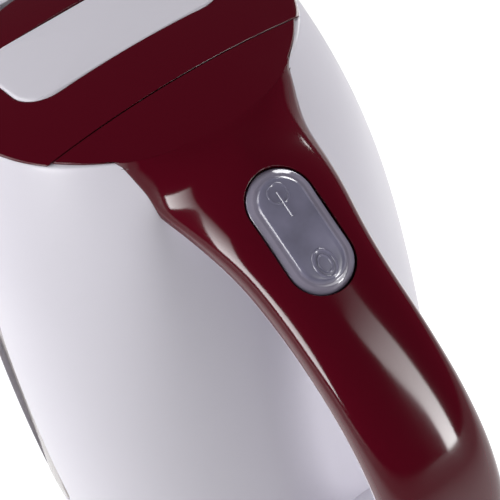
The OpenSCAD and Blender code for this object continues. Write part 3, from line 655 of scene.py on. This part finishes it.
class KETTLE_OT_jug_shell(bpy.types.Operator):
    """Make the jug's smooth wall with its spout and its gauge openings"""

    bl_idname = "kettle.jug_shell"
    bl_label = "Jug Shell"

    def execute(self, context):
        jug = context.scene.kettle_jug
        steps = 360
        angles = 2 * math.pi * np.arange(steps) / steps
        rim = jug.rim_z
        rings = []

        def add(z, radii):
            radii = np.broadcast_to(radii, angles.shape)
            flat = radii * np.cos(angles), radii * np.sin(angles)
            rings.append(np.column_stack([*flat, np.full(steps, z)]))

        def outer(drop):
            spout = spout_radius(jug, angles, drop)
            return soft_max(np.full(steps, float(jug_radius(jug, drop))), spout, jug.spout_blend)

        foot = jug.height - jug.foot_gap
        for drop in np.concatenate([np.linspace(foot, 0.084, 40), np.linspace(0.082, 0.0006, 62)]):
            add(rim - drop, outer(drop))
        add(rim - 0.0002, outer(0.0002) - 0.0001)
        add(rim, outer(0) - 0.0004)
        mouth = np.maximum(jug.lip_r, spout_radius(jug, angles, 0) - jug.wall)
        add(rim, mouth + 0.0004)
        add(rim - 0.0004, mouth)
        add(rim - jug.lip_depth, mouth)
        add(rim - jug.lip_depth - 0.0001, outer(jug.lip_depth) - jug.wall)
        for drop in np.linspace(0.008, 0.150, 50):
            add(rim - drop, outer(drop) - jug.wall)
        ledge_top = LEDGE_Z + LEDGE_T
        add(ledge_top + 0.0001, outer(rim - ledge_top - 0.0001) - jug.wall)
        add(ledge_top, LEDGE_R)
        add(LEDGE_Z, LEDGE_R)
        for z in (LEDGE_Z - 0.0001, 0.035, rim - foot):
            add(z, outer(rim - z) - jug.wall)
        piece = new_piece("jug_shell", *skin(rings, looped=True))
        cutters = []
        half = jug.gauge_w / 2 + 0.0002
        for side in (-1, 1):
            outline = rounded_outline(2 * half, jug.gauge_len + 0.0004, half, corner=24)
            mid = rim - jug.gauge_top - jug.gauge_len / 2
            bars = [[(jug.gauge_x + u, side * y, mid + v) for u, v in outline] for y in (0.03, 0.09)]
            cutters.append(new_piece("gauge_cut", *skin(bars, caps="fan")))
        cutters.append(notch_block(jug, "notch_cut"))
        carve(piece, *cutters)
        settle(piece, "jug", "white_shell", finishes()["white satin shell"], "jug_body")
        return {"FINISHED"}


class KETTLE_OT_gauges(bpy.types.Operator):
    """Make the smoky gauge windows that follow the jug's wall"""

    bl_idname = "kettle.gauges"
    bl_label = "Gauge Windows"

    def execute(self, context):
        jug = context.scene.kettle_jug
        mid = jug.rim_z - jug.gauge_top - jug.gauge_len / 2
        half = jug.gauge_w / 2 - 0.0001
        for side, node in ((-1, "gauge_left"), (1, "gauge_right")):
            rings = []

            def add(inset, out):
                outline = rounded_outline(2 * half, jug.gauge_len - 0.0002, half, inset, 24)
                ring = []
                for u, v in outline:
                    x, z = jug.gauge_x + u, mid + v
                    r = float(jug_radius(jug, jug.rim_z - z)) + out
                    ring.append((x, side * math.sqrt(r * r - x * x), z))
                rings.append(ring)

            add(half * 0.98, -0.0022)
            add(0.0, -0.0022)
            for inset, out in ((0, -0.0004), (0.0001, -0.0001), (0.0004, 0.0001), (0.0009, 0.0002)):
                add(inset, out)
            for share in (0.3, 0.5, 0.7, 0.85, 0.98):
                add(half * share, 0.0002)
            piece = new_piece(node + "_window", *skin(rings, caps="fan"))
            settle(piece, "jug", "gauge_window", finishes()["smoky gauge window"], node)
        return {"FINISHED"}


class KETTLE_OT_handle_cover(bpy.types.Operator):
    """Make the gloss cover that runs from the deck behind the lid down the handle"""

    bl_idname = "kettle.handle_cover"
    bl_label = "Handle Cover"

    def execute(self, context):
        jug, lid = context.scene.kettle_jug, context.scene.kettle_lid
        size = context.scene.kettle_handle
        rim, across = jug.rim_z, size.across
        first = STATIONS[0]
        corner = np.array([first[2], first[4]])
        seam_y = math.sqrt(jug.rim_r**2 - lid.seam_x**2)
        side, up = shares(across, first[5])

        def deck(v, drop):
            a0, a1 = math.atan2(seam_y, lid.seam_x), math.atan2(corner[1], corner[0])
            a = a0 + (a1 - a0) * v
            start = np.array([lid.seam_x, seam_y])
            miss = jug.rim_r * np.array([math.cos(a), math.sin(a)]) - (start * (1 - v) + corner * v)
            pull = np.abs(side) ** 4
            crease = np.column_stack([corner[0] + (first[0] - corner[0]) * up, corner[1] * side])
            lip = np.column_stack([np.full(across + 1, lid.seam_x - 0.003), seam_y * side])
            p = lip * (1 - v) + crease * v
            p[:, 0] += pull * miss[0]
            p[:, 1] += pull * np.sign(side) * miss[1]
            return np.column_stack([p, rim + dome_up(lid, np.hypot(p[:, 0], p[:, 1])) - drop])

        rings = []
        for k in range(20):
            v = k / 20
            rings.append(np.vstack([deck(v, 0), deck(v, size.shell)[::-1]]))
        rows = smoothed(STATIONS, size.along)
        crowns = np.column_stack([rows[:, 0], -rows[:, 1]])
        tangents = np.gradient(crowns, axis=0)
        tangents /= np.linalg.norm(tangents, axis=1)[:, None]
        out = np.column_stack([-tangents[:, 1], tangents[:, 0]])
        for i, (cx, cd, ex, ed, half, n) in enumerate(rows):
            thin = max(0.0, 1 - i / size.along / 2) * size.shell
            crown, edge = np.array([cx, -cd]), np.array([ex, -ed])
            top = section(edge, crown, half, n, across, rim)
            low_edge, low_crown = edge - (0, thin), crown - size.shell * out[i]
            under = section(low_edge, low_crown, half - size.shell, n, across, rim)
            rings.append(np.vstack([top, under[::-1]]))
        piece = new_piece("handle_shell", *skin(rings, caps="strip"))
        wall = jug_block(jug, "wall_cut", 0.00015)
        carve(wall, notch_block(jug, "notch"))
        back = (lid.seam_x + lid.pin_back, CUT_HALF, rim + 0.02)
        front = block("front_cut", (0, -CUT_HALF, rim - 0.02), back)
        carve(front, seam_barrel(jug, lid, "lip", -lid.gap / 2))
        outline = rounded_outline(
            size.rocker_len + 2 * size.rocker_gap,
            size.rocker_w + 2 * size.rocker_gap,
            size.rocker_w / 2 + size.rocker_gap,
            corner=32,
        )
        well_rings = [[(u, v, z) for u, v in outline] for z in (-0.012, 0.008)]
        well = new_piece("well_cut", *skin(well_rings, caps="fan"))
        well.matrix_world = rocker_place(context.scene)
        well.data.transform(well.matrix_world)
        well.matrix_world = Matrix.Identity(4)
        bpy.context.view_layer.update()
        carve(piece, wall, front, well)
        settle(piece, "jug", "burgundy_shell", finishes()["burgundy gloss shell"], "handle_cover")
        return {"FINISHED"}


class KETTLE_OT_handle_liner(bpy.types.Operator):
    """Make the white liner on the inside of the handle"""

    bl_idname = "kettle.handle_liner"
    bl_label = "Handle Liner"

    def execute(self, context):
        jug, size = context.scene.kettle_jug, context.scene.kettle_handle
        rows = smoothed(STATIONS, size.along)[FIRST_LINER_STATION * size.along :]
        rings = []
        for cx, cd, ex, ed, half, _ in rows:
            crown, edge = np.array([cx, -cd]), np.array([ex, -ed])
            inward = (edge - crown) / np.linalg.norm(edge - crown)
            wide, deep = half - size.liner_step, size.liner_depth
            pair = []
            for thin, squareness in zip((0, size.shell), LINER_SQUARENESS):
                top = edge + (deep - thin) * inward
                pair.append(section(edge, top, wide - thin, squareness, size.across, jug.rim_z))
            rings.append(np.vstack([pair[0], pair[1][::-1]]))
        piece = new_piece("handle_lining", *skin(rings, caps="strip"))
        carve(piece, jug_block(jug, "wall_cut"))
        settle(piece, "jug", "white_shell", finishes()["white satin shell"], "handle_liner")
        return {"FINISHED"}


def dome_pad(jug, lid, name, width, depth, corner, low, high, edge):
    """A pad with round corners that follows the dome, from one height over it to another."""
    rings = []

    def add(inset, up, shrink=1.0):
        ring = []
        for u, v in rounded_outline(width, depth, corner, inset):
            x, y = lid.inlay_x + u * shrink, v * shrink
            ring.append((x, y, jug.rim_z + float(dome_up(lid, math.hypot(x, y))) + up))
        rings.append(ring)

    for shrink in (0.02, 0.3, 0.6, 0.9):
        add(0, low, shrink)
    add(0, low)
    for k in range(7):
        a = math.pi / 2 * k / 6
        add(edge * (1 - math.cos(a)), high - edge * (1 - math.sin(a)))
    for shrink in (0.93, 0.85, 0.7, 0.5, 0.3, 0.1, 0.02):
        add(edge, high, shrink)
    return new_piece(name, *skin(rings, caps="fan"))


class KETTLE_OT_lid_cover(bpy.types.Operator):
    """Make the domed gloss lid with the pocket for its inlay"""

    bl_idname = "kettle.lid_cover"
    bl_label = "Lid Cover"

    def execute(self, context):
        jug, lid = context.scene.kettle_jug, context.scene.kettle_lid
        play, hollow_r = 0.00015, 0.044
        edge_r = jug.rim_r - play
        tops = np.linspace(0, edge_r - 0.0003, 40)
        profile = [(r, jug.rim_z + float(dome_up(lid, r))) for r in tops]
        edge_z = jug.rim_z + float(dome_up(lid, edge_r))
        profile += [(edge_r - 0.00008, edge_z - 0.00006), (edge_r, edge_z - 0.0002)]
        profile += [(edge_r, jug.rim_z + play), (hollow_r, jug.rim_z + play)]
        unders = np.linspace(hollow_r, 0, 30)
        profile += [(r, jug.rim_z + float(dome_up(lid, r)) - lid.cover_t) for r in unders]
        piece = new_piece("lid_dome", *turned(profile, 288))
        low = (lid.seam_x - lid.gap / 2, -CUT_HALF, jug.rim_z - 0.02)
        rear = block("rear_cut", low, (0.09, CUT_HALF, jug.rim_z + 0.02))
        pocket = dome_pad(
            jug,
            lid,
            "pocket_cut",
            lid.inlay_w,
            lid.inlay_len,
            lid.inlay_r,
            -lid.inlay_sink,
            0.003,
            0.0001,
        )
        carve(piece, seam_barrel(jug, lid, "barrel_cut", lid.gap / 2), rear, pocket)
        settle(piece, "lid", "burgundy_shell", finishes()["burgundy gloss shell"], "lid_cover")
        return {"FINISHED"}


class KETTLE_OT_lid_inlay(bpy.types.Operator):
    """Make the white inlay on the lid"""

    bl_idname = "kettle.lid_inlay"
    bl_label = "Lid Inlay"

    def execute(self, context):
        jug, lid = context.scene.kettle_jug, context.scene.kettle_lid
        play = 0.0001
        piece = dome_pad(
            jug,
            lid,
            "lid_panel",
            lid.inlay_w - play,
            lid.inlay_len - play,
            lid.inlay_r,
            -lid.inlay_sink,
            lid.inlay_up,
            0.0011,
        )
        settle(piece, "lid", "white_shell", finishes()["white satin shell"], "lid_inlay")
        return {"FINISHED"}


def rocker_place(scene):
    """Matrix of the rocker's own frame: Z out of the handle's crown, X down the handle."""
    jug, size = scene.kettle_jug, scene.kettle_handle
    spot = Matrix.Translation((size.rocker_x, 0, jug.rim_z - size.rocker_drop))
    return spot @ Matrix.Rotation(size.rocker_tilt, 4, "Y")


def bead(points, width, height, closed):
    """Rings of a low rounded bead that follows points on a face whose height is z."""
    n = len(points)
    rings = []
    for i, p in enumerate(points):
        a = points[i - 1] if closed or i else points[0]
        b = points[(i + 1) % n] if closed or i < n - 1 else points[-1]
        along = (b - a).normalized()
        side = Vector((-along.y, along.x, 0))
        ring = []
        for k in range(9):
            t = math.pi * k / 8
            up = height * math.sin(t) - 0.0001
            ring.append(p + side * (width / 2 * math.cos(t)) + Vector((0, 0, up)))
        rings.append(ring)
    return skin(rings, looped=closed, caps="none" if closed else "fan")


class KETTLE_OT_rocker(bpy.types.Operator):
    """Make the rocker's smoky lens with its plain on and off marks"""

    bl_idname = "kettle.rocker"
    bl_label = "Rocker Lens"

    def execute(self, context):
        size = context.scene.kettle_handle
        radius = size.rocker_w / 2
        rings = []
        for inset, up in LENS_PROFILE:
            inset = min(inset * MM, radius - 2e-5)
            outline = rounded_outline(size.rocker_len, size.rocker_w, radius, inset, 32)
            rings.append([(u, v, up * MM) for u, v in outline])
        points, faces = skin(rings, caps="fan")
        beads = []
        for x, along, across, width, height in LENS_RINGS:
            oval = [(x + along * math.cos(a), across * math.sin(a)) for a in circle(48)]
            beads.append(bead([Vector((u, v, LENS_FACE)) for u, v in oval], width, height, True))
        start, long, width, height = LENS_BAR
        path = [Vector((start + long * k / 12, 0, LENS_FACE)) for k in range(13)]
        beads.append(bead(path, width, height, False))
        for more, more_faces in beads:
            base = len(points)
            points = np.vstack([points, more])
            faces += [tuple(i + base for i in f) for f in more_faces]
        piece = new_piece("rocker_window", points, faces, crease=50)
        # Painted sheen on the lens's bevel: the rim attribute gives a pale colour share that peaks
        # partway up the slope
        share = piece.data.attributes.new("rim", "FLOAT", "POINT")
        low, high = LENS_SHEEN_Z
        for vertex in piece.data.vertices:
            up = (vertex.co.z - low) / (high - low)
            share.data[vertex.index].value = max(0.0, 1 - abs(up - LENS_SHEEN_PEAK) / LENS_SHEEN_PEAK) * LENS_SHEEN_SHARE
        piece.data.transform(rocker_place(context.scene))
        settle(piece, "rocker", "smoked_lens", finishes()["smoky switch lens"], "rocker_lens")
        return {"FINISHED"}


class KETTLE_OT_base_shell(bpy.types.Operator):
    """Make the power base's rounded shell"""

    bl_idname = "kettle.base_shell"
    bl_label = "Base Shell"

    def execute(self, context):
        jug, base = context.scene.kettle_jug, context.scene.kettle_base
        r, seat, wall = base.radius, base.seat_z, base.wall
        foot, neck = jug.foot_r, base.connector_r + 0.003
        profile = [
            (r - 0.0015, 0.003), (r, 0.005), (r, seat - 0.007), (r - 0.0015, seat - 0.0025),
            (r - 0.004, seat + 0.0003), (r - 0.0065, seat + 0.0014), (foot + 0.0016, seat + 0.0014),
            (foot + 0.001, seat), (0.030, seat), (0.028, seat - 0.0015), (neck, seat - 0.0015),
            (neck, seat - 0.004), (0.029, seat - 0.004), (0.031, seat - wall), (r - 0.006, seat - wall),
            (r - 0.0038, seat - 0.0038), (r - wall, seat - 0.007), (r - wall, 0.005),
            (r - 0.0015 - wall, 0.003),
        ]
        piece = new_piece("base_moulding", *turned(rounded(profile, 0.0016, 6), 288))
        seat_ring = [(OUTLET_R * math.cos(a), OUTLET_Z + OUTLET_R * math.sin(a)) for a in circle(64)]
        hole = [[(x, y, z) for y, z in seat_ring] for x in (0.06, 0.09)]
        carve(piece, new_piece("outlet_cut", *skin(hole, caps="fan")))
        settle(piece, "power_base", "white_shell", finishes()["white satin shell"], "base_shell")
        return {"FINISHED"}


class KETTLE_OT_frame_finishes(bpy.types.Operator):
    """Give the frame's own nodes their finishes"""

    bl_idname = "kettle.frame_finishes"
    bl_label = "Frame Finishes"

    def execute(self, context):
        made = finishes()
        for name, nodes in NODE_FINISH.items():
            for node in nodes.split():
                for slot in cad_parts[node].material_slots:
                    slot.material = made[name]
        return {"FINISHED"}


def lamp(name, turn, rise, distance, width, height, low, high):
    """A studio lamp that fades upwards, placed by its bearing and height as seen from the aim."""
    a, b = math.radians(turn), math.radians(rise)
    away = Vector((math.cos(a) * math.cos(b), math.sin(a) * math.cos(b), math.sin(b)))
    data = bpy.data.lights.new(name, "AREA")
    data.shape = "RECTANGLE"
    data.size, data.size_y = width, height
    data.energy = math.pi * width * height
    data.use_nodes = True
    nodes, links = data.node_tree.nodes, data.node_tree.links
    spot = nodes.new("ShaderNodeNewGeometry")
    axes = nodes.new("ShaderNodeSeparateXYZ")
    fade = nodes.new("ShaderNodeMapRange")
    fade.inputs["To Min"].default_value = low
    fade.inputs["To Max"].default_value = high
    links.new(spot.outputs["Parametric"], axes.inputs["Vector"])
    links.new(axes.outputs["Y"], fade.inputs["Value"])
    links.new(fade.outputs["Result"], nodes["Emission"].inputs["Strength"])
    light = bpy.data.objects.new(name, data)
    light.location = Vector(LAMP_AIM) + away * distance
    light.rotation_mode = "QUATERNION"
    light.rotation_quaternion = away.to_track_quat("Z", "Y")
    bpy.context.scene.collection.objects.link(light)


def lit_floor(material):
    """Paints a pool of light on the floor near the kettle, fading with distance, for the rays that see
    it, and keeps the shadow.
    """
    nodes, links = material.node_tree.nodes, material.node_tree.links
    shader = nodes["Principled BSDF"]
    path = nodes.new("ShaderNodeLightPath")
    total = path.outputs["Is Camera Ray"]
    for ray in ("Is Glossy Ray", "Is Transmission Ray"):
        more = nodes.new("ShaderNodeMath")
        more.operation = "MAXIMUM"
        links.new(total, more.inputs[0])
        links.new(path.outputs[ray], more.inputs[1])
        total = more.outputs["Value"]
    spot = nodes.new("ShaderNodeNewGeometry")
    far = nodes.new("ShaderNodeVectorMath")
    far.operation = "LENGTH"
    links.new(spot.outputs["Position"], far.inputs[0])
    # Painted pool of light: the floor's emission fades out with distance from the kettle
    painted_pool = nodes.new("ShaderNodeMapRange")
    painted_pool.inputs["From Min"].default_value = PAINTED_POOL_REACH[0]
    painted_pool.inputs["From Max"].default_value = PAINTED_POOL_REACH[1]
    painted_pool.inputs["To Min"].default_value = PAINTED_POOL_SHARE
    painted_pool.inputs["To Max"].default_value = 0
    links.new(far.outputs["Value"], painted_pool.inputs["Value"])
    level = nodes.new("ShaderNodeMath")
    level.operation = "MULTIPLY"
    links.new(painted_pool.outputs["Result"], level.inputs[0])
    links.new(total, level.inputs[1])
    shader.inputs["Emission Color"].default_value = (1, 1, 1, 1)
    links.new(level.outputs["Value"], shader.inputs["Emission Strength"])


class KETTLE_OT_studio(bpy.types.Operator):
    """Set up the floor, the lamps and the camera"""

    bl_idname = "kettle.studio"
    bl_label = "Studio"

    def execute(self, context):
        scene = context.scene
        scene.view_settings.view_transform = "Standard"
        paint = scene.kettle_colours.backdrop
        backdrop = finish("studio backdrop", paint, 0.8, vary=0.004, wear=0.02)
        lit_floor(backdrop)
        a = FLOOR_HALF
        corners = [(-a, -a, 0), (a, -a, 0), (a, a, 0), (-a, a, 0)]
        floor = new_piece("studio_floor", corners, [(0, 1, 2, 3)])
        floor.data.materials.append(backdrop)
        world = bpy.data.worlds.new("studio air")
        world.use_nodes = True
        air = world.node_tree.nodes["Background"]
        air.inputs["Color"].default_value = (1, 1, 1, 1)
        air.inputs["Strength"].default_value = AIR_STRENGTH
        scene.world = world
        for name, place in LAMPS.items():
            lamp(name, *place)
        camera = bpy.data.cameras.new("camera")
        camera.sensor_width = 36
        camera.lens = CAMERA_LENS
        camera.clip_start, camera.clip_end = 0.01, 50
        view = bpy.data.objects.new("camera", camera)
        turn = Matrix(CAMERA_AXES).transposed()
        view.matrix_world = Matrix.Translation(CAMERA_SPOT) @ turn.to_4x4()
        scene.collection.objects.link(view)
        scene.camera = view
        return {"FINISHED"}


class KETTLE_PT_panel(bpy.types.Panel):
    """The kettle's steps and sizes in the sidebar"""

    bl_label = "Jug Kettle"
    bl_idname = "KETTLE_PT_panel"
    bl_space_type = "VIEW_3D"
    bl_region_type = "UI"
    bl_category = "Kettle"

    def draw(self, context):
        for step in STEPS:
            self.layout.operator(step.bl_idname)
        for group in GROUPS:
            owner = getattr(context.scene, group)
            box = self.layout.box()
            for name in owner.__annotations__:
                box.prop(owner, name)


STEPS = (
    KETTLE_OT_studio,
    KETTLE_OT_jug_shell,
    KETTLE_OT_gauges,
    KETTLE_OT_handle_cover,
    KETTLE_OT_handle_liner,
    KETTLE_OT_lid_cover,
    KETTLE_OT_lid_inlay,
    KETTLE_OT_rocker,
    KETTLE_OT_base_shell,
    KETTLE_OT_frame_finishes,
)
GROUPS = {
    "kettle_jug": KettleJugSizes,
    "kettle_lid": KettleLidSizes,
    "kettle_handle": KettleHandleSizes,
    "kettle_base": KettleBaseSizes,
    "kettle_colours": KettleColours,
}


def register():
    for group in GROUPS.values():
        bpy.utils.register_class(group)
    for step in STEPS:
        bpy.utils.register_class(step)
    bpy.utils.register_class(KETTLE_PT_panel)
    for name, group in GROUPS.items():
        setattr(bpy.types.Scene, name, PointerProperty(type=group))


def unregister():
    for name in GROUPS:
        delattr(bpy.types.Scene, name)
    for kind in (KETTLE_PT_panel, *reversed(STEPS), *reversed(list(GROUPS.values()))):
        bpy.utils.unregister_class(kind)


def main():
    """Registers the add-on and runs each step in order."""
    register()
    for step in STEPS:
        group, name = step.bl_idname.split(".")
        getattr(getattr(bpy.ops, group), name)()


if __name__ == "__main__":
    main()
